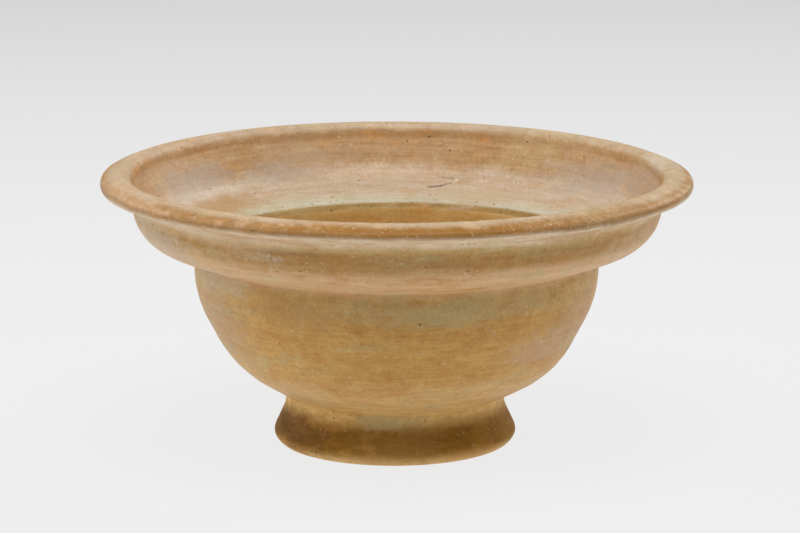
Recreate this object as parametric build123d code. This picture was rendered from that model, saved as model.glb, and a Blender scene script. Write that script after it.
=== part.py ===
from build123d import *

import os
from math import cos, radians, tan

# A wheel-made, slip-coated bowl with a double-curved wall, a rolled bead rim and a luted foot ring.
# Millimetres, +Z up. The origin is the centre of the ring that the bowl stands on.

# Heights, stacked from the table up
FOOT_HEIGHT = 11.1  # table to the crease where foot ring and bowl meet
BOWL_HEIGHT = 31.2  # that crease to the shoulder crease
UPPER_WALL_HEIGHT = 10.5  # shoulder crease to the join under the bead
BEAD_HEIGHT = 8.2  # that join to the lip

# Radial sizes, from the lip inwards
RIM_DIAMETER = 130.0
BEAD_OVERHANG = 6.8  # bead past the join under it
SHOULDER_WIDTH = 13.7  # that join past the bowl
FOOT_DIAMETER = 53.4
TOE_FLARE = 2.5  # toe of the foot ring past its neck

# Clay thicknesses
BOWL_WALL = 4.1
UPPER_WALL = 3.8
FLOOR_THICKNESS = 5.2
LUTE = 0.5  # bed of slip in each join

# Bead rim
BEAD_BEVEL_DROP = 1.5  # soft arris on the lip's outer edge
BEAD_BEVEL_WIDTH = 3.6
BEAD_NOSE_HEIGHT = 1.6  # upright part under that arris
BEAD_UNDERSIDE_SLOPE = 22.0
BEAD_INSET = 0.3  # inner side of the bead, inside the upper wall's outer face
BEAD_INNER_LEAN = 18.0  # of that side, from vertical
BEAD_ROOT = 5.1  # join to the crease where that side begins
BEAD_SEAT_SLOPE = 45.0  # of the join, falling outwards
BEAD_COVE_ROUND = 4.5  # hollow under the bead
BEAD_LOWER_ROUND = 1.1
BEAD_ARRIS_ROUND = 1.1
BEAD_CREST_ROUND = 3.5
BEAD_INNER_ROUND = 2.4
BEAD_CREASE_ROUND = 1.2

# Upper wall
SHOULDER_SLOPE = 20.0
UPPER_WALL_FLARE = 10.0  # of its outer face, from vertical
UPPER_WALL_LEAN = 30.0  # of its inner face, from vertical
SHOULDER_ROUND = 9.1
UPPER_HOLLOW_ROUND = 16.0
LEDGE_ROUND = 1.2

# Bowl
BELLY_DROP = 8.6  # shoulder crease to where the wall turns inwards
BELLY_LEAN = 28.0  # of the wall below that, from vertical
BASE_SLOPE = 29.0
BELLY_ROUND = 25.0
KNEE_ROUND = 23.0
FLOOR_ROUND = 20.0

# Foot ring
RECESS_DEPTH = 6.6
NECK_HEIGHT = 2.6  # straight part under the crease
TOE_HEIGHT = 3.2
FOOT_RING_WIDTH = 6.2  # across the standing face, before rounding
FOOT_INNER_LEAN = 15.0
FOOT_SEAT_SLOPE = 35.0
NECK_ROUND = 5.0
TOE_ROUND = 4.0
TOE_EDGE_ROUND = 2.3
INNER_EDGE_ROUND = 1.0
LUTE_COVE = 1.5  # smear of slip in the corner inside the ring

LEG_USE = 0.98  # most of a straight leg that its two roundings may take up

rim_radius = RIM_DIAMETER / 2
wall_radius = rim_radius - BEAD_OVERHANG
bowl_radius = wall_radius - SHOULDER_WIDTH
bore_radius = bowl_radius - BOWL_WALL
foot_radius = FOOT_DIAMETER / 2
neck_radius = foot_radius - TOE_FLARE

shoulder_z = FOOT_HEIGHT + BOWL_HEIGHT
bead_z = shoulder_z + UPPER_WALL_HEIGHT
lip_z = bead_z + BEAD_HEIGHT
floor_z = RECESS_DEPTH + FLOOR_THICKNESS


class Face:
    """A straight face of the section through a point (radius, height), rising outwards at a slope."""

    def __init__(self, point, slope):
        self.radius, self.height = point
        self.slope = slope
        self.rise = tan(radians(slope))

    def at_radius(self, radius):
        return radius, self.height + self.rise * (radius - self.radius)

    def at_height(self, height):
        return self.radius + (height - self.height) / self.rise, height

    def moved(self, distance):
        """The same face, moved up square to itself."""
        return Face((self.radius, self.height + distance / cos(radians(self.slope))), self.slope)

    def meets(self, other):
        gap = other.at_radius(self.radius)[1] - self.height
        return self.at_radius(self.radius + gap / (self.rise - other.rise))


def turned(*corners):
    """A ring or disc about the axis from a closed section of (radius, height, rounding) corners."""
    points = [Vector(radius, height) for radius, height, _ in corners]
    rounds = [rounding for _, _, rounding in corners]
    count = len(points)
    half_turns = []
    for i, point in enumerate(points):
        turn = (point - points[i - 1]).get_angle(points[(i + 1) % count] - point)
        half_turns.append(tan(radians(turn / 2)))
    for i in range(count):
        leg = (points[i] - points[i - 1]).length
        taken = rounds[i] * half_turns[i] + rounds[i - 1] * half_turns[i - 1]
        if taken > LEG_USE * leg:
            rounds[i] *= LEG_USE * leg / taken
            rounds[i - 1] *= LEG_USE * leg / taken
    outline = FilletPolyline(*points, radius=rounds, close=True)
    return revolve(Plane.XZ * make_face(outline), Axis.Z)


# Straight faces that more than one piece lies against
neck_crease = (neck_radius, FOOT_HEIGHT)
inner_crease = (wall_radius - BEAD_INSET, bead_z + BEAD_ROOT)
foot_inner_point = (foot_radius - FOOT_RING_WIDTH, 0)
foot_seat = Face(neck_crease, FOOT_SEAT_SLOPE)
foot_top = foot_seat.moved(-LUTE)
foot_inner = Face(foot_inner_point, FOOT_INNER_LEAN - 90)
base_outer = Face(neck_crease, BASE_SLOPE)
belly_outer = Face((bowl_radius, shoulder_z - BELLY_DROP), 90 - BELLY_LEAN)
shoulder_outer = Face((bowl_radius, shoulder_z), SHOULDER_SLOPE)
upper_outer = Face((wall_radius, bead_z), 90 - UPPER_WALL_FLARE)
bead_seat = Face((wall_radius, bead_z), -BEAD_SEAT_SLOPE)
upper_top = bead_seat.moved(-LUTE)
upper_inner = Face(inner_crease, 90 - UPPER_WALL_LEAN)


def foot_ring():
    return turned(
        (*foot_top.at_radius(neck_radius), 0),
        (neck_radius, FOOT_HEIGHT - NECK_HEIGHT, NECK_ROUND),
        (foot_radius, TOE_HEIGHT, TOE_ROUND),
        (foot_radius, 0, TOE_EDGE_ROUND),
        (*foot_inner_point, INNER_EDGE_ROUND),
        (*foot_inner.meets(foot_top), 0),
    )


def foot_lute():
    """Bed of slip between foot ring and bowl, wiped into a hollow cove on the inside."""
    corner = Vector(*foot_inner.at_height(RECESS_DEPTH))
    on_ring = Vector(*foot_inner.at_height(RECESS_DEPTH - LUTE_COVE))
    on_base = corner - Vector(LUTE_COVE, 0)
    hollow = (corner + (on_ring + on_base) / 2) / 2
    return turned(
        (*neck_crease, 0),
        (*foot_top.at_radius(neck_radius), 0),
        (*foot_inner.meets(foot_top), 0),
        (on_ring.X, on_ring.Y, 0),
        (hollow.X, hollow.Y, LUTE_COVE),
        (on_base.X, on_base.Y, 0),
        (*foot_seat.at_height(RECESS_DEPTH), 0),
    )


def bowl_body():
    base_inner = base_outer.moved(BOWL_WALL)
    belly_inner = belly_outer.moved(BOWL_WALL)
    floor = Face((0, floor_z), 0)
    return turned(
        (bowl_radius, shoulder_z - LUTE, 0),
        (*belly_outer.at_radius(bowl_radius), BELLY_ROUND),
        (*base_outer.meets(belly_outer), KNEE_ROUND),
        (*neck_crease, 0),
        (*foot_seat.at_height(RECESS_DEPTH), 0),
        (0, RECESS_DEPTH, 0),
        (0, floor_z, 0),
        (*base_inner.meets(floor), FLOOR_ROUND),
        (*base_inner.meets(belly_inner), KNEE_ROUND - BOWL_WALL),
        (*belly_inner.at_radius(bore_radius), BELLY_ROUND - BOWL_WALL),
        (bore_radius, shoulder_z - LUTE, 0),
    )


def shoulder_lute():
    """Bed of slip between the bowl's top edge and the upper wall."""
    return turned(
        (bore_radius, shoulder_z - LUTE, 0),
        (bowl_radius, shoulder_z - LUTE, 0),
        (bowl_radius, shoulder_z, 0),
        (bore_radius, shoulder_z, 0),
    )


def upper_wall():
    """The flaring quarter-round wall, with a ledge inside where it meets the bowl."""
    shoulder_inner = shoulder_outer.moved(UPPER_WALL)
    return turned(
        (bowl_radius, shoulder_z, 0),
        (*shoulder_outer.meets(upper_outer), SHOULDER_ROUND),
        (*upper_outer.meets(upper_top), 0),
        (*upper_inner.meets(upper_top), 0),
        (*upper_inner.meets(shoulder_inner), UPPER_HOLLOW_ROUND),
        (*shoulder_inner.at_radius(bore_radius), LEDGE_ROUND),
        (bore_radius, shoulder_z, 0),
    )


def rim_lute():
    """Bed of slip between the upper wall's top edge and the bead."""
    return turned(
        (*upper_outer.meets(upper_top), 0),
        (wall_radius, bead_z, 0),
        (*upper_inner.meets(bead_seat), 0),
        (*upper_inner.meets(upper_top), 0),
    )


def bead_rim():
    """The rolled lip, with a hollow under it that runs out on the wall."""
    arris_z = lip_z - BEAD_BEVEL_DROP
    nose = (rim_radius, arris_z - BEAD_NOSE_HEIGHT)
    underside = Face(nose, BEAD_UNDERSIDE_SLOPE)
    inner_side = Face(inner_crease, 90 - BEAD_INNER_LEAN)
    return turned(
        (wall_radius, bead_z, 0),
        (*upper_outer.meets(underside), BEAD_COVE_ROUND),
        (*nose, BEAD_LOWER_ROUND),
        (rim_radius, arris_z, BEAD_ARRIS_ROUND),
        (rim_radius - BEAD_BEVEL_WIDTH, lip_z, BEAD_CREST_ROUND),
        (*inner_side.at_height(lip_z), BEAD_INNER_ROUND),
        (*inner_crease, BEAD_CREASE_ROUND),
        (*upper_inner.meets(bead_seat), 0),
    )


pieces = {
    "foot_ring": foot_ring(),
    "foot_lute": foot_lute(),
    "bowl_body": bowl_body(),
    "shoulder_lute": shoulder_lute(),
    "upper_wall": upper_wall(),
    "rim_lute": rim_lute(),
    "bead_rim": bead_rim(),
}

os.makedirs("parts", exist_ok=True)
for name, piece in pieces.items():
    export_step(piece, f"parts/{name}.step")
    print(name, round(piece.volume), "mm3", piece.bounding_box().size)
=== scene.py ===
# %% [markdown]
# # A slip-coated bowl with a bead rim and a foot ring
#
# The bowl was thrown on a wheel in parts, joined with wet clay, dipped in fine clay slip and fired. Its
# solids come from the packed CAD model, which is loaded here as a fixed frame. Everything below only
# dresses those solids: it never moves them, and it works in metres in the same frame.

# %% The packed model
from math import cos, pi, radians, sin

import bmesh
import bpy
import numpy as np
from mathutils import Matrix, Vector


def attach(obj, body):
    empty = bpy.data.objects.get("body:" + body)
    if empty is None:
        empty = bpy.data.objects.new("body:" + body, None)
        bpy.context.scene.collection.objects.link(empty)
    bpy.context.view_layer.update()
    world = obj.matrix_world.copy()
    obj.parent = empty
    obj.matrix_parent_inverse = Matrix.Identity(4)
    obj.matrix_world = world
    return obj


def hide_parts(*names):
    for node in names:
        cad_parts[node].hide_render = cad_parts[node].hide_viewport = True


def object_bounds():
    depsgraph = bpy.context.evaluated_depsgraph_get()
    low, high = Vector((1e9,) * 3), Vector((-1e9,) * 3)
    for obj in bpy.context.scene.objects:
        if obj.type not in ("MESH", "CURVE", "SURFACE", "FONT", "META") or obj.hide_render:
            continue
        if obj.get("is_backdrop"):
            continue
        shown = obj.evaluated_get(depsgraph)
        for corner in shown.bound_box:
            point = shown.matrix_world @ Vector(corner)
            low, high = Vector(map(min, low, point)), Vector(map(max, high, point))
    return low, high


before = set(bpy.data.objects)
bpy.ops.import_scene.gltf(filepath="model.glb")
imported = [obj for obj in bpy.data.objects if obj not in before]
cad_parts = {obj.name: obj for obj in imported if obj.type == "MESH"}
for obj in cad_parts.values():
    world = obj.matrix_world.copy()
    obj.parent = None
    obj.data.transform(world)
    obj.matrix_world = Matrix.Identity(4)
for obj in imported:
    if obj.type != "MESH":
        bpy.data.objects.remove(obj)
cad_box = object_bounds()
MM = 0.001
print("nodes", sorted(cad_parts), "box", [round(v / MM, 2) for v in (*cad_box[0], *cad_box[1])])

# %% [markdown]
# ## The camera
#
# The photograph was taken from about a metre away with a long lens, a little above the rim, so the bowl
# shows as two flat ovals with hardly any perspective. A camera could be placed by eye, but the rim's and
# the foot's ovals fix its height and distance, so those measured values are used.

# %% Camera
ELEVATION = radians(11.75)
DISTANCE = 1.0354
AIM = Vector((0.0007, 0.0, 0.0391))
LENS = 211.5
SENSOR_WIDTH = 36.0

camera = bpy.data.objects.new("camera", bpy.data.cameras.new("camera"))
bpy.context.scene.collection.objects.link(camera)
bpy.context.scene.camera = camera
camera.data.lens = LENS
camera.data.sensor_width = SENSOR_WIDTH
sight = Vector((0.0, cos(ELEVATION), -sin(ELEVATION)))
camera.location = AIM - DISTANCE * sight
camera.rotation_euler = sight.to_track_quat("-Z", "Y").to_euler()
print("camera at", [round(v, 3) for v in camera.location])

# %% [markdown]
# ## Reading each piece's section
#
# A thrown pot is a section spun round an axis, and so is each CAD solid. The section could be typed in
# again, but then it could drift from the solid. Here a copy of the solid's mesh is cut by a half plane
# through the axis, and the cut is walked from point to point. The plane goes through +X, where the spinning
# of the solid began: every ring of the mesh has a true point there.

# %% Sections
TOUCH = 0.002 * MM  # points nearer than this are one point


def walk(edges):
    """The points of a chain or loop of edges, in order."""
    links = {}
    for edge in edges:
        for here, there in (edge.verts, reversed(edge.verts)):
            links.setdefault(here, []).append(there)
    ends = [point for point, nexts in links.items() if len(nexts) == 1]
    path = [ends[0] if ends else next(iter(links))]
    while True:
        onward = [point for point in links[path[-1]] if point not in path[-2:] and point != path[0]]
        if not onward:
            return [point.co.copy() for point in path]
        path.append(onward[0])


def section(node):
    """A node's outline as an array of (radius, height), ordered with the clay on its left."""
    shell = bmesh.new()
    shell.from_mesh(node.data)
    bmesh.ops.remove_doubles(shell, verts=shell.verts, dist=TOUCH)
    for normal, half in (((1, 0, 0), True), ((0, 1, 0), False)):
        cut = bmesh.ops.bisect_plane(
            shell, geom=[*shell.verts, *shell.edges, *shell.faces], dist=TOUCH,
            plane_co=(0, 0, 0), plane_no=normal, clear_inner=half,
        )["geom_cut"]
    path = walk([part for part in cut if isinstance(part, bmesh.types.BMEdge)])
    shell.free()
    outline = np.array([(point.x, point.z) for point in path])
    r, z = outline.T
    area = np.sum(r * np.roll(z, -1) - np.roll(r, -1) * z)
    return outline if area > 0 else outline[::-1]


sections = {name: section(node) for name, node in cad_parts.items()}
for name, outline in sections.items():
    low, high = (outline.min(axis=0) / MM).round(1), (outline.max(axis=0) / MM).round(1)
    print(name, len(outline), "points, radius and height from", low, "to", high)

# %% [markdown]
# ## From a few points to a smooth outline
#
# The cut gives straight steps between points of the rounded clay. Spun as it is, that would show as flat
# bands in the sheen. A subdivision modifier would round it, but it would also round the true corners and
# shrink the form. So the outline is split at its sharp corners, and a cubic curve runs through the points of
# each stretch. A long step is a truly straight part of the section, and gets points along it first.

# %% Curves through points
STRAIGHT = 3.0 * MM  # a longer step is a straight part
FILL = 0.6 * MM  # between the points added along it


def filled(points):
    """Points with more of them along the straight parts."""
    out = [points[:1]]
    for a, b in zip(points[:-1], points[1:]):
        length = np.hypot(*(b - a))
        steps = max(1, round(length / FILL)) if length > STRAIGHT else 1
        share = np.linspace(0, 1, steps + 1)[1:, None]
        out.append(a + share * (b - a))
    return np.concatenate(out)


def curve(points, step):
    """Points about a step apart on a cubic curve through the given ones."""
    points = filled(points)
    chords = np.hypot(*np.diff(points, axis=0).T)
    at = np.concatenate([[0], np.cumsum(chords)])
    slopes = np.diff(points, axis=0) / chords[:, None]
    tangents = np.concatenate([slopes[:1], slopes])
    if len(slopes) > 1:
        before, after = chords[:-1, None], chords[1:, None]
        tangents[1:-1] = (slopes[:-1] * after + slopes[1:] * before) / (before + after)
        tangents[0] = 2 * slopes[0] - tangents[1]
        tangents[-1] = 2 * slopes[-1] - tangents[-2]
    want = np.linspace(0, at[-1], max(1, round(at[-1] / step)) + 1)
    i = np.clip(np.searchsorted(at, want, side="right") - 1, 0, len(chords) - 1)
    t = ((want - at[i]) / chords[i])[:, None]
    ease = t * t * (3 - 2 * t)
    leave, arrive = t * (1 - t) ** 2, t * t * (t - 1)
    return (
        points[i] + ease * (points[i + 1] - points[i])
        + chords[i][:, None] * (leave * tangents[i] + arrive * tangents[i + 1])
    )


for name, outline in sections.items():
    print(name, "has", len(filled(outline)), "points with its straight parts filled")

# %% [markdown]
# A piece's outline turns sharply where two faces of clay meet at an arris, and there the curve has to stop
# and start again. The corners could be listed by hand, but the angle between one step and the next finds
# them. The outline of the bowl with its floor begins and ends on the axis, where it isn't closed.

# %% Stretches between corners
SHARP = radians(35.0)  # a larger turn is a corner
NEAR_AXIS = 0.05 * MM  # a point nearer than this lies on the axis


def stretches(outline):
    """The outline's stretches between its sharp corners or the axis, each with both ends."""
    closed = outline[:, 0].min() > NEAR_AXIS
    before = outline - np.roll(outline, 1, axis=0)
    after = np.roll(outline, -1, axis=0) - outline
    heading_in = np.arctan2(before[:, 1], before[:, 0])
    heading_out = np.arctan2(after[:, 1], after[:, 0])
    turn = np.abs((heading_out - heading_in + pi) % (2 * pi) - pi)
    corners = np.flatnonzero((turn > SHARP) | (outline[:, 0] < NEAR_AXIS))
    outline = np.roll(outline, -corners[0], axis=0)
    corners = [*(corners - corners[0]), len(outline)]
    outline = np.concatenate([outline, outline[:1]])
    parts = [outline[a:b + 1] for a, b in zip(corners[:-1], corners[1:])]
    return parts if closed else [part for part in parts if part[:, 0].max() > NEAR_AXIS]


for name, outline in sections.items():
    print(name, len(stretches(outline)), "stretches")

# %% [markdown]
# ## Where the pieces touch
#
# The joins between the pieces are closed with slip and can't be seen. A stretch of one outline that lies on
# another is such a join. How far a point is from the nearest join says how freely its surface may be marked
# by tools and wear: not at all on the join itself, so that the pieces stay face to face there.

# %% Distance to the joins
CLEAR_OF_JOIN = 1.5 * MM  # from here on a surface is marked in full


def to_outline(points, outline):
    """Distance of each point to the nearest step of a closed outline."""
    a, b = outline, np.roll(outline, -1, axis=0)
    ab = b - a
    t = np.einsum("pij,ij->pi", points[:, None] - a, ab) / np.einsum("ij,ij->i", ab, ab)
    near = a + np.clip(t, 0, 1)[..., None] * ab
    return np.hypot(*np.moveaxis(points[:, None] - near, -1, 0)).min(axis=1)


def ramp(value, low, high):
    """0 below low, 1 above high, and an even rise between."""
    share = np.clip((value - low) / (high - low), 0, 1)
    return share * share * (3 - 2 * share)


def freedom(name, points):
    """0 on a join, 1 where the surface is clear of every join."""
    others = [to_outline(points, outline) for other, outline in sections.items() if other != name]
    return ramp(np.min(others, axis=0), 0, CLEAR_OF_JOIN)


for name, outline in sections.items():
    print(name, round(100 * np.mean(freedom(name, outline) < 1)), "percent of its points are near a join")

# %% [markdown]
# ## Out of true
#
# No hand-thrown bowl is a perfect solid of revolution. In the photograph the foot sits about half a
# millimetre to the left, the wall just above it leans a little to the right, and so does the upper wall,
# which is also a trifle narrow. The lip dips on the right, the bead's lower edge hangs at both ends, and the
# toe's edge is worn up. Each piece could be bent on its own, but one function that moves any point of the
# bowl, wherever it is, keeps pieces together that touch.

# %% The lean and wobble of the whole
rim_radius = min(-cad_box[0].x, -cad_box[0].y, cad_box[1].x, cad_box[1].y)
lip = cad_box[1].z

# Each swell is its size, how often it comes in a turn, how it winds up the wall, and where it starts
SWELLS = [(0.12 * MM, 2, 40, 0.0), (0.07 * MM, 3, -60, 1.0), (0.04 * MM, 5, 90, 2.0)]

# Each other fault grows from none to all of it, or fades, between two heights or two distances from the axis
FOOT_SHIFT, FOOT_FADES = -0.45 * MM, (9 * MM, 14 * MM)
KNEE_SHIFT, KNEE_GROWS, KNEE_FADES = 0.25 * MM, (10 * MM, 15 * MM), (17 * MM, 26 * MM)
WALL_SHIFT, WALL_DRAWN_IN = 0.12 * MM, 0.003
WALL_GROWS, WALL_FADES = (38 * MM, 44 * MM), (54 * MM, 57 * MM)
LIP_DIP, DIP_GROWS = 0.1 * MM, (12 * MM, 50 * MM)
BEAD_SAG, SAG_ALL_ROUND, SAG_AT_ENDS = 0.45 * MM, 0.3, 0.7
SAG_GROWS, SAG_FADES = (59 * MM, 62 * MM), (58 * MM, 60 * MM)
TOE_LIFT, LIFT_GROWS, LIFT_FADES = 0.45 * MM, (24 * MM, 26.7 * MM), (1 * MM, 4 * MM)


def out_of_true(points):
    """Points of the bowl, moved by the maker's hand."""
    x, y, z = points.T
    angle, radius = np.arctan2(y, x), np.hypot(x, y)
    swell = sum(size * np.sin(times * angle + winds * z + start) for size, times, winds, start in SWELLS)
    foot = 1 - ramp(z, *FOOT_FADES)
    knee = ramp(z, *KNEE_GROWS) * (1 - ramp(z, *KNEE_FADES))
    wall = ramp(z, *WALL_GROWS) * (1 - ramp(z, *WALL_FADES))
    factor = 1 + swell / rim_radius - WALL_DRAWN_IN * wall
    share = radius / rim_radius
    dip = LIP_DIP * share * (2 + np.cos(angle) + np.sin(2 * angle)) * ramp(z, *DIP_GROWS)
    under = ramp(radius, *SAG_GROWS) * (1 - ramp(z, *SAG_FADES))
    sag = BEAD_SAG * (SAG_ALL_ROUND + SAG_AT_ENDS * np.cos(2 * angle)) * under
    lift = TOE_LIFT * ramp(radius, *LIFT_GROWS) * (1 - ramp(z, *LIFT_FADES))
    return np.stack([
        x * factor + FOOT_SHIFT * foot + KNEE_SHIFT * knee + WALL_SHIFT * wall,
        y * factor,
        np.maximum(z, 0) + lift - dip - sag,
    ], axis=1)


right_end = np.array([(rim_radius, 0.0, lip)])
print("the lip's right end moves by", ((out_of_true(right_end) - right_end)[0] / MM).round(2), "mm")

# %% [markdown]
# ## Wheel marks and pits
#
# Fingers and a rib leave shallow rings as the clay turns, and grit that burns or falls out leaves pits. Both
# change the outline and catch the light, so they are moved vertices and not only a bump in the finish. The
# rings are a sum of waves that climb the wall and drift slowly round it. The pits are small smooth dents.

# %% Rings and dents
RING_COUNT = 8
RING_DEPTH, RING_APART = (0.004, 0.012), (2.5, 9.0)  # millimetres
RING_DRIFT = 1.2  # spread of how often a wave comes in one turn of the pot
DENT_SPREAD, DENT_DEPTH = (0.45, 0.95), (0.03, 0.12)  # millimetres
SEED = 29

dice = np.random.default_rng(SEED)
RINGS = [
    (depth * MM, wave, round(dice.normal(0, RING_DRIFT)), dice.uniform(0, 2 * pi))
    for depth, wave in zip(
        dice.uniform(*RING_DEPTH, RING_COUNT), 2 * pi / MM / dice.uniform(*RING_APART, RING_COUNT)
    )
]


def wheel_marks(angle, climb):
    """Height of the finger rings at an angle round the bowl and a distance up its wall."""
    return sum(depth * np.sin(wave * climb + turns * angle + start) for depth, wave, turns, start in RINGS)


def dents(points, count):
    """Depth of the pits at each point, from seeded centres among the points themselves."""
    depth = np.zeros(len(points))
    for centre in dice.choice(len(points), count, replace=False):
        spread = dice.uniform(*DENT_SPREAD) * MM
        off = np.sum((points - points[centre]) ** 2, axis=1) / (2 * spread**2)
        depth += dice.uniform(*DENT_DEPTH) * MM * np.exp(-off)
    return depth


print("rings at most", round(sum(ring[0] for ring in RINGS) / MM, 3), "mm high where all of them meet")

# %% [markdown]
# ## Turning the pieces
#
# Blender's Screw modifier could spin an outline, but here each ring of points is wanted as numbers, to be
# marked and moved. So the rings are made with numpy: every outline point goes round the axis, moves along
# the surface's normal for wheel marks and dents, and then goes out of true with the whole bowl. What is left
# is one closed mesh for each piece, fine enough that the marks are real shape.

# %% Rings of points
FACES = 196000  # most triangles for one piece
SPOKE = 0.72 * MM  # between two points round the widest ring
FINEST = 0.3 * MM  # between two rings at the least
QUARTERS = 4  # the points of a ring come in four equal quarters
DENTS = {"bead_rim": 34, "upper_wall": 40, "bowl_body": 44, "foot_ring": 12}


def turned(name):
    """A piece's points as (rows, spokes, 3), and whether its rows close into a ring."""
    outline = sections[name]
    closed = outline[:, 0].min() > NEAR_AXIS
    parts = stretches(outline)
    length = sum(np.hypot(*np.diff(part, axis=0).T).sum() for part in parts)
    spokes = QUARTERS * round(2 * pi * outline[:, 0].max() / SPOKE / QUARTERS)
    step = max(FINEST, length / (FACES / 2 / spokes))
    rows = np.concatenate([curve(part, step)[:-1] for part in parts])
    if not closed:
        rows = np.concatenate([rows, parts[-1][-1:]])
    along = np.roll(rows, -1, axis=0) - np.roll(rows, 1, axis=0)
    out = np.stack([along[:, 1], -along[:, 0]], axis=1)
    out /= np.hypot(*out.T)[:, None]
    angle = np.arange(spokes) * 2 * pi / spokes
    spin = np.stack([np.cos(angle), np.sin(angle)], axis=1)

    def spun(flat):
        """Points or directions of the flat section, carried round to every spoke."""
        up = np.broadcast_to(flat[:, None, 1:], (len(flat), spokes, 1))
        return np.concatenate([flat[:, None, :1] * spin, up], axis=2)

    points, normals = spun(rows), spun(out)
    free = freedom(name, rows)[:, None]
    height = wheel_marks(angle[None], rows.sum(axis=1)[:, None]) * free
    if name in DENTS:
        depth = dents(points.reshape(-1, 3), DENTS[name])
        height -= depth.reshape(height.shape) * free
    points = points + normals * height[..., None]
    return out_of_true(points.reshape(-1, 3)).reshape(points.shape), closed


grids = {name: turned(name) for name in sections}
reach = max(np.abs(grid[..., :2]).max() for grid, _ in grids.values())
top = max(grid[..., 2].max() for grid, _ in grids.values())
keep = np.array([min(1, rim_radius / reach)] * 2 + [min(1, lip / top)])
for name, (grid, _) in grids.items():
    print(name, grid.shape[:2], "rows and spokes,", 2 * grid.shape[0] * grid.shape[1], "triangles")
print("brought inside the CAD box by", keep.round(5))

# %% [markdown]
# ## Meshes that ride on the frame
#
# Each grid of points becomes one object that stands for its CAD node and rides on the bowl's only body. A
# disc's first and last rows lie on the axis and shrink to a single point each. Edges at the section's sharp
# corners are marked sharp, so that the sheen breaks there and nowhere else.

# %% Pieces
CLAY_NODES = {"bead_rim", "upper_wall", "bowl_body", "foot_ring"}
pieces = {}


def mesh_of(name, grid, closed):
    """A grid of points as a closed mesh, smooth but for its sharp corners."""
    rows, spokes = grid.shape[:2]
    index = np.arange(rows * spokes).reshape(rows, spokes)
    lower = index if closed else index[:-1]
    upper = np.roll(index, -1, axis=0) if closed else index[1:]
    quads = [lower, np.roll(lower, -1, axis=1), np.roll(upper, -1, axis=1), upper]
    mesh = bpy.data.meshes.new(name)
    mesh.from_pydata(grid.reshape(-1, 3).tolist(), [], np.stack(quads, axis=-1).reshape(-1, 4).tolist())
    shell = bmesh.new()
    shell.from_mesh(mesh)
    bmesh.ops.remove_doubles(shell, verts=shell.verts, dist=TOUCH)
    bmesh.ops.recalc_face_normals(shell, faces=shell.faces)
    shell.to_mesh(mesh)
    shell.free()
    mesh.polygons.foreach_set("use_smooth", [True] * len(mesh.polygons))
    mesh.set_sharp_from_angle(angle=SHARP)
    return mesh


for name, (grid, closed) in grids.items():
    piece = bpy.data.objects.new("turned_" + name, mesh_of("turned_" + name, grid * keep, closed))
    bpy.context.scene.collection.objects.link(piece)
    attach(piece, "root")
    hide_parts(name)
    "slipped_clay" if name in CLAY_NODES else "lute_slip"
    pieces[name] = piece
    print(piece.name, len(piece.data.polygons), "faces")

# %% [markdown]
# ## Sockets that take part in sums
#
# A finish is a tree of nodes. Wiring them one by one hides what is being worked out, so a small class wraps
# an output socket and lets Python's own operators add the Math nodes.

# %% Value
class Value:
    """An output socket that an expression can use."""

    def __init__(self, finish, node, output=0):
        self.finish, self.node, self.socket = finish, node, node.outputs[output]

    def out(self, output):
        return Value(self.finish, self.node, output)

    def math(self, operation, first, second):
        return self.finish.node("Math", {"operation": operation}, {0: first, 1: second})

    def __add__(self, other):
        return self.math("ADD", self, other)

    def __sub__(self, other):
        return self.math("SUBTRACT", self, other)

    def __rsub__(self, other):
        return self.math("SUBTRACT", other, self)

    def __mul__(self, other):
        return self.math("MULTIPLY", self, other)

    def __truediv__(self, other):
        return self.math("DIVIDE", self, other)

    def __pow__(self, other):
        return self.math("POWER", self, other)

    __radd__ = __add__
    __rmul__ = __mul__


print("a plain number may come first in", sorted({"__radd__", "__rmul__", "__rsub__"} & set(vars(Value))))

# %% [markdown]
# Colours and vectors go through Mix and Vector Math nodes, because a Math node turns a colour grey. Every
# node comes from one method, and the few kinds that the slip uses often have a short form of it.

# %% A finish and its nodes
MIX_FACTOR, MIX_UNDER, MIX_OVER, MIX_RESULT = 0, 6, 7, 2  # a Mix node's sockets for colours


class Finish:
    """A material and its tree of nodes."""

    def __init__(self, name):
        self.material = bpy.data.materials.new(name)
        self.material.use_nodes = True
        self.tree = self.material.node_tree
        self.shader = self.tree.nodes["Principled BSDF"]

    def node(self, kind, settings=None, sockets=None, output=0):
        """A new node, with its settings first and then the values or links of its sockets."""
        made = self.tree.nodes.new("ShaderNode" + kind)
        for key, value in (settings or {}).items():
            setattr(made, key, value)
        for key, value in (sockets or {}).items():
            self.set(made.inputs[key], value)
        return Value(self, made, output)

    def set(self, socket, value):
        if isinstance(value, Value):
            self.tree.links.new(value.socket, socket)
        else:
            socket.default_value = value

    def smooth(self, value, low, high):
        """0 below low, 1 above high, and an even rise between."""
        sockets = {"Value": value, "From Min": low, "From Max": high}
        return self.node("MapRange", {"interpolation_type": "SMOOTHSTEP"}, sockets)

    def mix(self, under, over, share):
        sockets = {MIX_FACTOR: share, MIX_UNDER: under, MIX_OVER: over}
        return self.node("Mix", {"data_type": "RGBA", "clamp_factor": True}, sockets, MIX_RESULT)

    def noise(self, vector, scale, detail=3.0, roughness=0.5, distortion=0.0):
        sockets = {"Vector": vector, "Scale": scale, "Detail": detail}
        sockets |= {"Roughness": roughness, "Distortion": distortion}
        return self.node("TexNoise", {}, sockets)

    def scale(self, vector, share):
        return self.node("VectorMath", {"operation": "SCALE"}, {0: vector, "Scale": share})

    def vector(self, x, y, z):
        return self.node("CombineXYZ", {}, {0: x, 1: y, 2: z})

    def vector_math(self, operation, first, second, output=0):
        return self.node("VectorMath", {"operation": operation}, {0: first, 1: second}, output)


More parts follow.
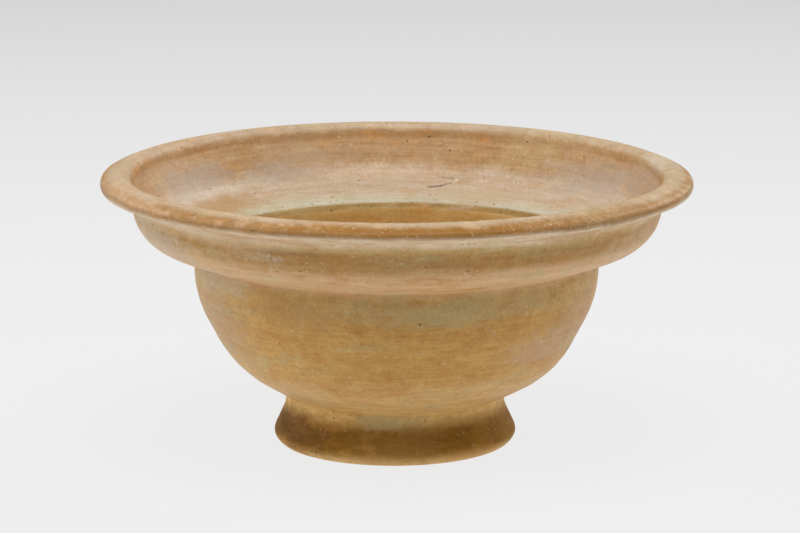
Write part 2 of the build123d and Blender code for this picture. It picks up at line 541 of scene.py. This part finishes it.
def tone(*shown):
    """A colour given as the 0 to 255 values that a screen shows, as the linear values that a shader takes."""
    return (*(((v / 255 + 0.055) / 1.055) ** 2.4 if v > 10 else v / 255 / 12.92 for v in shown), 1.0)


print("half bright on a screen is", round(tone(128)[0], 3), "to a shader")

# %% [markdown]
# ## Finding one's way on a turned pot
#
# Everything a potter does to a pot on the wheel runs round it, so the finish needs to know the height, the
# distance from the axis and whether the surface faces in or out. Texture coordinates painted on the mesh
# would do, but the object's own coordinates already are the frame's, in metres, and they run on from one
# piece to the next without a seam.

# %% Measures on the pot
OFF_AXIS = 0.01  # keeps the divisions finite on the axis
CLIMB_STEEP = 2  # a millimetre up counts as two outwards
FLATTEN = 2.5  # how much longer than high a cloud in the slip is
FACES_IN = (-0.3, 0.0)  # how far outwards a face looks: at the first it is wholly inside, at the second not


def measure(f):
    """Adds to a finish the place of each point, in millimetres."""
    place = f.node("TexCoord", output="Object")
    f.mm = f.scale(place, 1 / MM)
    x = f.node("SeparateXYZ", {}, {0: f.mm})
    y, f.z = x.out("Y"), x.out("Z")
    radius = (x * x + y * y) ** 0.5
    f.east, f.north = x / (radius + OFF_AXIS), y / (radius + OFF_AXIS)
    f.climb = radius + f.z * CLIMB_STEEP
    f.drawn_out = f.vector(x, y, f.z * FLATTEN)
    facing = f.node("NewGeometry", output="Normal")
    outward = f.vector_math("DOT_PRODUCT", facing, f.vector(f.east, f.north, 0.0), "Value")
    f.inside = 1 - f.smooth(outward, *FACES_IN)


def streaks(f, around, up, detail):
    """Noise drawn out round the pot: so many spots to a radius round it, and to a millimetre up it."""
    return f.noise(f.vector(f.east * around, f.north * around, f.climb * up), 1.0, detail)


def band(f, height, low, high, soft):
    """1 between two heights in millimetres."""
    return f.smooth(height, low - soft, low + soft) * (1 - f.smooth(height, high - soft, high + soft))


print("one metre of the frame is", round(1 / MM), "of the finish's millimetres")

# %% [markdown]
# ## The slip's colours
#
# The slip fired to ochre. It is brown where it ran together, on the foot and under the lip inside, and pale
# where it was wiped thin. As the pot was turning, such changes run round it in bands. They could be painted
# in an image, but heights are enough. A noise moves the bands up and down, so that no edge is drawn with a
# ruler. A few bands also hold painted light: a painted highlight on the lip's crest and on the ledge's edge,
# painted shade just under the ledge's edge, and a painted reflection of the bright table in the pale band
# under the bead.

# %% Bands
HONEY = tone(209, 166, 104)
UMBER = tone(139, 97, 15)
GOLD = tone(219, 176, 106)
OCHRE = tone(205, 157, 86)
OLIVE = tone(199, 162, 100)
STRAW = tone(215, 174, 126)
BRONZE = tone(189, 145, 86)
CREAM = tone(222, 196, 163)
FAWN = tone(160, 121, 75)
BUFF = tone(184, 160, 131)
AMBER = tone(196, 161, 102)
MOSS = tone(142, 110, 58)
SAGE = tone(186, 176, 152)
ROSE = tone(184, 161, 136)
TAN = tone(172, 135, 91)
TAWNY = tone(176, 138, 94)

# Each band is where it begins, where it is full, both in millimetres of height, and its colour
# The cream band just under the bead is partly paler slip and partly a painted reflection of the bright table
# below.
OUTER_BANDS = [
    (0.4, 3.4, UMBER), (6.6, 10.8, GOLD), (10.8, 13.0, HONEY), (17.0, 23.0, OCHRE), (33.0, 39.5, OLIVE),
    (40.7, 42.3, STRAW), (47.5, 50.8, BRONZE), (52.4, 54.0, OLIVE), (53.6, 55.8, CREAM),
]
# The buff bands on the lip's crest, outside and inside, are partly paler slip and partly a painted highlight
# from the overhead light.
LIP_BANDS = [(57.2, 58.4, FAWN), (59.6, 60.4, BUFF)]
INNER_BANDS = [(50.2, 53.0, TAN)]
INNER_LIP_BANDS = [(57.3, 58.5, TAWNY), (59.2, 60.3, BUFF)]
# On the ledge, the moss band just under its edge is painted shade over browner slip, and the sage band on its
# edge is a painted highlight over paler slip.
LEDGE_BANDS = [(43.9, 44.8, MOSS), (45.1, 45.6, SAGE), (45.9, 47.4, ROSE)]

NOISE_MEAN = 0.5  # a noise runs from 0 to 1
WANDER = (0.07, 3.0)  # spots to a millimetre, and detail
WANDER_ON_FOOT, WANDER_MORE_ABOVE = 1, 2  # millimetres from lowest to highest
LIP_TILT = 0.35  # the lip's bands lie higher in front and lower at the back, in millimetres
FOOT_TO_BOWL = (6.0, 14.0)
INSIDE_STARTS = (10.0, 13.0)  # below this, what faces in is the hollow under the foot


def bands(f, height, ground, steps):
    """The ground with each band laid over it from its height up."""
    for begins, full, tint in steps:
        ground = f.mix(ground, tint, f.smooth(height, begins, full))
    return ground


def bands_of_colour(f):
    """The slip's bands, outside and inside."""
    wander = f.noise(f.drawn_out, *WANDER) - NOISE_MEAN
    f.above_foot = f.smooth(f.z, *FOOT_TO_BOWL)
    f.height = f.z + wander * (f.above_foot * WANDER_MORE_ABOVE + WANDER_ON_FOOT)
    crest = f.z + wander + f.north * LIP_TILT
    outer = bands(f, crest, bands(f, f.height, HONEY, OUTER_BANDS), LIP_BANDS)
    inner = bands(f, f.height, bands(f, f.z, AMBER, LEDGE_BANDS), INNER_BANDS)
    inner = bands(f, crest, inner, INNER_LIP_BANDS)
    return f.mix(outer, inner, f.inside * f.smooth(f.z, *INSIDE_STARTS))


print("bands outside", len(OUTER_BANDS + LIP_BANDS))
print("bands inside", len(INNER_BANDS + INNER_LIP_BANDS + LEDGE_BANDS))

# %% [markdown]
# Within the bands the slip lay thicker and thinner. Thick slip fires browner and thin slip paler. A grey
# noise on the colour would only darken it, so one function changes lightness and hue together. Soft clouds
# change the slip broadly, streaks follow the turning of the wheel, and a fine mottling is everywhere,
# stronger on the foot, below the shoulder and on the upper wall.

# %% Clouds, streaks and mottling
SIENNA = tone(194, 136, 68)
CELADON = tone(190, 171, 122)
THINNER = (0.7, 1.0, 1.6)  # how strongly red, green and blue grow where the slip is thinner

# Each noise is its spots to a millimetre, detail, roughness and distortion
BROAD_CLOUDS, SMALL_CLOUDS = (0.045, 4.0, 0.6, 0.8), (0.13, 5.0, 0.65)
MOTTLE = (0.25, 6.0, 0.85)
STREAKS = (5.0, 0.6, 5.0)  # spots to a radius round the pot, to a millimetre up it, and detail

# The slip is thin where a cloud is above one pair of values, and thick where it is below the other
THIN_CLOUDS, THIN_SHARE, THIN_LESS_INSIDE = (0.52, 0.74), 0.5, 0.3
THICK_CLOUDS, THICK_SHARE, THICK_LESS_ON_PALE = (0.26, 0.48), 0.55, 0.35
# PALE_CREST keeps thick brown slip off the crest, which keeps its painted highlight pale.
PALE_INSIDE, PALE_CREST = (45.0, 51.5, 0.8), (59.6, 60.4)
STREAKY, STREAKY_INSIDE, STREAKY_AT = 0.5, 0.2, (52.0, 58.0, 1.5)
MOTTLED, MOTTLED_FOOT = 0.95, 0.6

# Where the mottling is stronger or weaker: from, to and softness in millimetres of height, and by how much
MOTTLED_AT = [((33.0, 41.0, 1.5), 0.25), ((50.5, 57.0, 1.0), 0.3), ((42.5, 49.5, 1.0), -0.35)]


def shade(f, colour, share):
    """The colour where the slip is thicker, and so browner, or thinner, and so paler."""
    return f.vector_math("MULTIPLY", colour, f.vector(*(share * part + 1 for part in THINNER)))


def clouds_and_streaks(f, colour):
    """The bands with the slip's uneven thickness."""
    cloud = f.noise(f.drawn_out, *BROAD_CLOUDS) + f.noise(f.drawn_out, *SMALL_CLOUDS) - NOISE_MEAN
    pale = f.inside * band(f, f.z, *PALE_INSIDE) + f.smooth(f.z, *PALE_CREST)
    thin = f.smooth(cloud, *THIN_CLOUDS) * f.above_foot
    thick = 1 - f.smooth(cloud, *THICK_CLOUDS)
    colour = f.mix(colour, CELADON, thin * (THIN_SHARE - f.inside * THIN_LESS_INSIDE))
    colour = f.mix(colour, SIENNA, thick * (THICK_SHARE - pale * THICK_LESS_ON_PALE))
    f.fine = streaks(f, *STREAKS)
    streaky = f.inside * band(f, f.height, *STREAKY_AT) * STREAKY_INSIDE + STREAKY
    mottled = (1 - f.above_foot) * MOTTLED_FOOT + MOTTLED
    for heights, more in MOTTLED_AT:
        mottled = mottled + band(f, f.z, *heights) * more
    mottle = f.noise(f.mm, *MOTTLE)
    return shade(f, colour, (mottle - NOISE_MEAN) * mottled + (f.fine - NOISE_MEAN) * streaky)


print("mottling", MOTTLED, "on the bowl and", MOTTLED + MOTTLED_FOOT, "on the foot")

# %% [markdown]
# ## Where the slip has worn or weathered, and where light is painted on it
#
# After long use and burial the slip is rubbed through in places, and lime has settled on it in pale films. A
# few places are painted light instead: paler sides left and right of the front, as light from the sides makes
# them, and a painted highlight on the lip's right end.
# Each such place is an ellipsoid round a point on the wall. A rubbed place is also broken up inside, into
# fine grains. The places that the photograph shows are listed one by one, and so are a few on the back, so
# that no side of the bowl looks untouched.

# %% Worn places and painted light
CHALK = tone(206, 194, 176)
ASH = tone(166, 149, 134)
RUSSET = tone(147, 99, 32)
PINK = tone(206, 170, 136)
LOAM = tone(84, 54, 6)

# Each place is its middle and its reach along x, y and z in millimetres, its colour, its strength, and how
# far it is broken into grains
WORN_AND_PAINTED_LIGHT = [
    ((-46, 30, 53.0), (16, 18, 3.8), ASH, 0.75, 0.2),
    ((44, 32, 52.5), (18, 20, 4.5), ASH, 0.75, 0.3),
    # The next four places, at the left and right of the front, are painted light: they make the sides paler,
    # as light from the sides does.
    ((-52, -22, 49.0), (14, 26, 7.0), CHALK, 0.45, 0.1),
    ((52, -22, 49.0), (12, 26, 7.0), CREAM, 0.25, 0.1),
    ((-40, -18, 30.0), (12, 22, 11.0), ASH, 0.35, 0.1),
    ((40, -18, 29.0), (12, 22, 10.0), ASH, 0.3, 0.1),
    ((55, 12, 55.0), (10, 20, 4.5), ASH, 0.6, 0.2),
    ((-58, -24, 59.4), (16, 30, 1.8), PINK, 0.35, 0.0),
    ((-42, 28, 49.8), (20, 22, 1.1), CHALK, 0.35, 0.0),
    ((-27, 46, 51.8), (11, 9, 2.5), ASH, 0.7, 0.1),
    ((-24, 52, 54.5), (16, 10, 4.0), BUFF, 0.5, 0.1),
    ((19, 43, 46.4), (15, 9, 2.2), BUFF, 0.7, 0.0),
    ((-38, 24, 47.6), (12, 16, 2.4), TAN, 0.75, 0.0),
    ((-5, 51, 50.5), (14, 9, 2.0), PINK, 0.35, 0.0),
    ((-28.5, -50.3, 51.3), (8, 6, 1.4), CHALK, 0.5, 0.6),
    ((-24, -52.5, 53.0), (13, 8, 0.9), RUSSET, 0.8, 0.5),
    ((34, -46, 53.0), (16, 12, 2.0), CELADON, 0.3, 0.0),
    ((-32, -47, 54.0), (24, 14, 2.2), CREAM, 0.4, 0.1),
    ((-41, -24, 40.5), (12, 18, 4.0), CHALK, 0.35, 0.0),
    ((38, -46, 55.4), (18, 13, 1.8), BRONZE, 0.55, 0.0),
    ((46, -46, 59.2), (24, 18, 2.4), RUSSET, 0.6, 0.1),
    ((8, -63.5, 59.4), (44, 18, 0.9), RUSSET, 0.85, 0.0),
    ((40, -48, 58.8), (22, 18, 2.8), CHALK, 0.15, 1.0),
    # A painted highlight on the lip's right end, where the slip is also worn pale.
    ((57, 11, 60.0), (6, 12, 2.0), CHALK, 0.5, 0.2),
    ((25, -37, 38.2), (20, 12, 3.2), CELADON, 0.3, 0.0),
    ((-22, -38, 36.5), (14, 10, 4.5), BRONZE, 0.6, 0.0),
    ((9, -43.5, 37.4), (18, 9, 3.6), CELADON, 0.5, 0.0),
    ((30, -28, 26.5), (10, 11, 5.0), PINK, 0.65, 0.4),
    ((1, -26, 5.0), (13, 8, 5.5), BRONZE, 0.35, 0.2),
    ((-3, -24, 9.6), (8, 5, 2.4), CELADON, 0.75, 0.2),
    ((-22, -12, 5.5), (12, 16, 5.0), LOAM, 0.65, 0.1),
    ((18, -20, 2.2), (9, 8, 2.0), SIENNA, 0.5, 0.2),
    ((-34, 22, 33), (12, 14, 5.0), CELADON, 0.45, 0.0),
    ((20, 38, 26), (12, 12, 6.0), PINK, 0.5, 0.5),
    ((-10, 57, 51), (14, 6, 2.0), CHALK, 0.5, 0.5),
    ((-20, 66, 58.8), (30, 8, 1.6), RUSSET, 0.7, 0.2),
]
print(len(WORN_AND_PAINTED_LIGHT), "worn places")

# %% [markdown]
# A place with a clean edge would look stamped on, so a noise moves each edge in and out, drawn out along the
# wall as the streaks are. A faint noise wears the rest of the slip, and the lip, which hands and stacked pots
# touch most, is rubbed to the pink clay in patches.

# %% Wear and painted light
# Each noise is its spots to a millimetre, detail and roughness
RAGGED, GRAIN = (0.25, 5.0, 0.65), (1.5, 4.0, 0.7)
FAINT_WEAR, LIP_WEAR = (0.11, 6.0, 0.62), (0.3, 4.0, 0.65)

RAGGED_BY = 1.8  # of a place's reach
EDGE = (0.3, 1.15)  # where a place begins to fade and has gone, in reaches

# Each pair is where a noise begins to count and where it counts in full
GRAINY, GRAIN_SHADE = (0.47, 0.6), 0.55
FAINT_FROM, FAINT_SHARE = (0.6, 0.74), 0.3
RUBBED_FROM, RUBBED_SHARE, RUBBED_AT = (0.5, 0.64), 0.5, (58.9, 61.2, 0.4)


def wear_and_painted_light(f, colour):
    """The slip with its worn and limy places, and its places of painted light."""
    ragged = (f.noise(f.drawn_out, *RAGGED) - NOISE_MEAN) * RAGGED_BY
    f.grain = f.noise(f.mm, *GRAIN)
    grains = f.smooth(f.grain, *GRAINY)
    f.worn = f.smooth(f.noise(f.mm, *FAINT_WEAR), *FAINT_FROM) * grains * f.above_foot * FAINT_SHARE
    colour = f.mix(colour, CHALK, f.worn)
    rubbed = f.smooth(f.noise(f.mm, *LIP_WEAR), *RUBBED_FROM) * band(f, f.z, *RUBBED_AT)
    colour = f.mix(colour, PINK, rubbed * RUBBED_SHARE)
    for centre, reach, tint, strength, broken in WORN_AND_PAINTED_LIGHT:
        off = f.vector_math("DIVIDE", f.vector_math("SUBTRACT", f.mm, centre), reach)
        off = f.vector_math("LENGTH", off, (0, 0, 0), "Value")
        share = (1 - f.smooth(off + ragged, *EDGE)) * strength * (1 - broken + grains * broken)
        colour = f.mix(colour, tint, share)
        f.worn = f.worn + share * broken
    return shade(f, colour, (f.grain - NOISE_MEAN) * GRAIN_SHADE)


print("an edge wanders by up to", RAGGED_BY / 2, "of a place's reach")

# %% [markdown]
# ## Grit and pits
#
# The clay holds grains of lime that show as pale specks, and others that fell out and left dark pits, most of
# all along the ledge inside. A Voronoi texture strews such points: each cell has one, its distance gives the
# spot, and the cell's random colour says which few cells have one at all. A noise bends the texture first, so
# that the spots aren't all round.

# %% Specks and pits
# Each kind is its cells to a millimetre, the share of cells that have a spot, and its size in millimetres
SPECKS = [(0.9, 0.16, 0.4), (1.4, 0.25, 0.26)]
PITS, LEDGE_PITS = (0.8, 0.07, 0.42), (0.75, 0.6, 0.5)
PITTED_LEDGE = (44.6, 46.0, 0.2)
BEND = (1.1, 2.0)
SMALLEST = 0.3  # of the largest spot
SPOT_EDGE = (0.4, 1.0)
PICK_SOFT = 0.02


def spots(f, cells, chance, size):
    """Scattered spots of one kind."""
    bent = f.vector_math("SUBTRACT", f.noise(f.mm, *BEND).out("Color"), [NOISE_MEAN] * 3)
    scatter = f.node("TexVoronoi", {}, {"Vector": f.vector_math("ADD", f.mm, bent), "Scale": cells})
    pick = f.node("SeparateColor", {}, {0: scatter.out("Color")})
    reach = (pick.out(1) * (1 - SMALLEST) + SMALLEST) * (size * cells)
    picked = f.smooth(pick, 1 - chance, 1 + PICK_SOFT - chance)
    return (1 - f.smooth(scatter / reach, *SPOT_EDGE)) * picked


def strew(f):
    """Adds to a finish where its specks and pits are."""
    f.specks = spots(f, *SPECKS[0]) + spots(f, *SPECKS[1])
    f.pits = spots(f, *PITS) + spots(f, *LEDGE_PITS) * (band(f, f.z, *PITTED_LEDGE) * f.inside)


print("specks", SPECKS, "and pits", PITS)

# %% [markdown]
# ## A scratch
#
# Inside the back wall is a short hooked scratch, the clearest single mark in the photograph. It could be cut
# into the mesh, but it is thinner than the mesh is fine. So it is drawn by the distance to six short strokes,
# four dark and two of pale clay at the bend, with a little noise that roughens their edges. The specks and
# pits are laid on after it.

# %% Scratch, then specks and pits
SPECK = tone(224, 198, 164)
SOOT = tone(70, 52, 36)

# Each stroke is its two ends in millimetres, its colour and its strength
SCRATCH = [
    ((7.4, 48.0, 47.8), (10.2, 48.1, 48.2), SOOT, 0.65),
    ((10.2, 48.1, 48.2), (12.8, 48.7, 48.8), SOOT, 0.45),
    ((9.1, 51.2, 49.9), (10.7, 50.4, 49.6), SOOT, 0.2),
    ((10.7, 50.4, 49.6), (13.5, 49.8, 49.6), SOOT, 0.3),
    ((12.8, 48.7, 48.8), (13.9, 49.2, 49.2), CHALK, 0.5),
    ((13.9, 49.2, 49.2), (13.5, 49.8, 49.6), CHALK, 0.5),
]
JITTER, JITTER_BY = (1.3, 3.0), 0.4
STROKE = (0.15, 0.45)  # millimetres from its middle line
SPECK_ON_FOOT, SPECK_MORE_ABOVE, SPECK_LESS_INSIDE = 0.25, 0.4, 0.3
PIT_SHARE = 0.6


def line(f, start, end):
    """Distance in millimetres to a straight line between two points."""
    run = tuple(b - a for a, b in zip(start, end))
    length = sum(v * v for v in run)
    off = f.vector_math("SUBTRACT", f.mm, start)
    along = f.node("Clamp", {}, {0: f.vector_math("DOT_PRODUCT", off, run, "Value") / length})
    return f.vector_math("LENGTH", f.vector_math("SUBTRACT", off, f.scale(run, along)), (0, 0, 0), "Value")


def marks(f, colour):
    """The slip with its scratch, specks and pits."""
    strew(f)
    f.scratch = 0.0
    jitter = (f.noise(f.mm, *JITTER) - NOISE_MEAN) * JITTER_BY
    for start, end, tint, strength in SCRATCH:
        share = (1 - f.smooth(line(f, start, end) + jitter, *STROKE)) * strength
        colour = f.mix(colour, tint, share)
        f.scratch = f.scratch + share
    bright = SPECK_ON_FOOT - f.inside * SPECK_LESS_INSIDE + f.above_foot * SPECK_MORE_ABOVE
    colour = f.mix(colour, SPECK, f.specks * bright)
    return f.mix(colour, SOOT, f.pits * PIT_SHARE)


print("the scratch has", len(SCRATCH), "strokes")

# %% [markdown]
# ## Sheen and relief
#
# Terra sigillata means a slip so fine that it fires to a soft sheen without glaze. A clear coat over the clay
# would look like glaze, so the shader's own roughness gives that sheen: lower where the slip is whole, higher
# on the foot and where it has worn through. The finest relief, under half a millimetre, is a bump from the
# same noises as the colour, so that what looks like a pit also shades like one.

# %% The finish
COAT_ROUGH, LUTE_ROUGH = 0.46, 0.52
FOOT_ROUGHER, WORN_ROUGHER, PIT_ROUGHER, GRAIN_ROUGHER = 0.25, 0.18, 0.2, 0.2
STREAK_HIGH, GRAIN_HIGH, SPECK_HIGH, PIT_DEEP, SCRATCH_DEEP = 0.03, 0.06, 0.03, 0.12, 0.1  # millimetres
SHEEN = 0.2


def slip(name, rough):
    """The fired slip, with its roughness where it is whole."""
    f = Finish(name)
    measure(f)
    colour = marks(f, wear_and_painted_light(f, clouds_and_streaks(f, bands_of_colour(f))))
    rough = rough + (1 - f.above_foot) * FOOT_ROUGHER + f.worn * WORN_ROUGHER
    rough = rough + f.pits * PIT_ROUGHER + (f.grain - NOISE_MEAN) * GRAIN_ROUGHER
    height = (f.fine - NOISE_MEAN) * STREAK_HIGH + (f.grain - NOISE_MEAN) * GRAIN_HIGH
    height = height + f.specks * SPECK_HIGH - f.pits * PIT_DEEP - f.scratch * SCRATCH_DEEP
    f.set(f.shader.inputs["Base Color"], colour)
    f.set(f.shader.inputs["Specular IOR Level"], SHEEN)
    f.set(f.shader.inputs["Roughness"], rough)
    f.set(f.shader.inputs["Normal"], f.node("Bump", {}, {"Strength": 1.0, "Distance": MM, "Height": height}))
    print(name, len(f.tree.nodes), "nodes")
    return f.material


coat, lute = slip("fired_slip", COAT_ROUGH), slip("join_slip", LUTE_ROUGH)
for name, piece in pieces.items():
    piece.data.materials.append(coat if name in CLAY_NODES else lute)

# %% [markdown]
# ## The table
#
# The bowl stands on a white table that glows a little from below, so it has hardly any shadow and its
# undersides are bright. A lit white surface would do too, but then the lights would have to be balanced for
# bowl and table at once. The glow fades with distance, as the photograph's ground does.

# %% Table
TABLE_SIZE, TABLE_EDGES = 8.0, 96
TABLE_GAP = 0.05 * MM  # below the foot, so that the two faces don't flicker
GLOW_NEAR, GLOW_FAR, GLOW_FADES = (0.8, 0.8, 0.8, 1), (0.33, 0.33, 0.33, 1), (0.3, 1.75)
GLOW_FORWARD = 0.25  # its middle lies this far in front of the bowl
PAINT, PAINT_ROUGH = (0.05, 0.05, 0.05, 1), 0.9  # dark and matt, so that little but the glow shows

table_mesh = bpy.data.meshes.new("table")
shell = bmesh.new()
bmesh.ops.create_circle(shell, cap_ends=True, segments=TABLE_EDGES, radius=TABLE_SIZE / 2)
shell.to_mesh(table_mesh)
shell.free()
table = bpy.data.objects.new("table", table_mesh)
table.location.z = -TABLE_GAP
bpy.context.scene.collection.objects.link(table)
table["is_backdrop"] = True

white = Finish("table_white")
spot = white.node("SeparateXYZ", {}, {0: white.node("TexCoord", output="Object")})
far = (spot * spot + (spot.out("Y") + GLOW_FORWARD) ** 2.0) ** 0.5
glow = white.mix(GLOW_NEAR, GLOW_FAR, white.smooth(far, *GLOW_FADES))
white.set(white.shader.inputs["Base Color"], PAINT)
white.set(white.shader.inputs["Roughness"], PAINT_ROUGH)
white.set(white.shader.inputs["Specular IOR Level"], 0.0)
white.set(white.shader.inputs["Emission Color"], glow)
white.set(white.shader.inputs["Emission Strength"], 1.0)
table_mesh.materials.append(white.material)
print("table", TABLE_SIZE, "m across")

# %% [markdown]
# ## The light
#
# A large soft light hangs above the bowl, and weaker ones stand at its sides and behind it. There is next to
# nothing on the camera's side, which is why the upright faces are the darkest. Discs are used because their
# reflections on a round pot have no corners.

# %% Light
LIT_POINT = Vector((0, 0, 0.03))
ROOM_LIGHT = 0.06

# Each light is its place, its size in metres and its power in watts
LIGHTS = {
    "overhead": ((0.0, -0.4, 1.3), 1.2, 19.0),
    "left": ((-1.1, -0.1, 0.55), 0.8, 5.2),
    "right": ((1.1, -0.1, 0.55), 0.8, 2.5),
    "left back": ((-0.9, 0.9, 0.7), 0.8, 3.0),
    "right back": ((0.9, 0.9, 0.7), 0.8, 7.0),
}
for name, (place, size, power) in LIGHTS.items():
    light = bpy.data.lights.new(name, "AREA")
    light.shape, light.size, light.energy = "DISK", size, power
    lamp = bpy.data.objects.new(name, light)
    lamp.location = place
    lamp.rotation_euler = (LIT_POINT - Vector(place)).to_track_quat("-Z", "Y").to_euler()
    bpy.context.scene.collection.objects.link(lamp)

world = bpy.data.worlds.new("room")
bpy.context.scene.world = world
world.use_nodes = True
room = world.node_tree.nodes["Background"]
room.inputs["Color"].default_value = (1, 1, 1, 1)
room.inputs["Strength"].default_value = ROOM_LIGHT
bpy.context.scene.view_settings.view_transform = "Standard"
print("lights", list(LIGHTS), "with", sum(power for _, _, power in LIGHTS.values()), "watts")

# %% [markdown] ## Sizes The dressed bowl was brought inside the box of the CAD model; here both boxes are worked out.

# %% Sizes
visual_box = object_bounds()
sizes = {"cad": [list(corner) for corner in cad_box], "visual": [list(corner) for corner in visual_box]}
print({key: [[round(v / MM, 3) for v in corner] for corner in box] for key, box in sizes.items()})
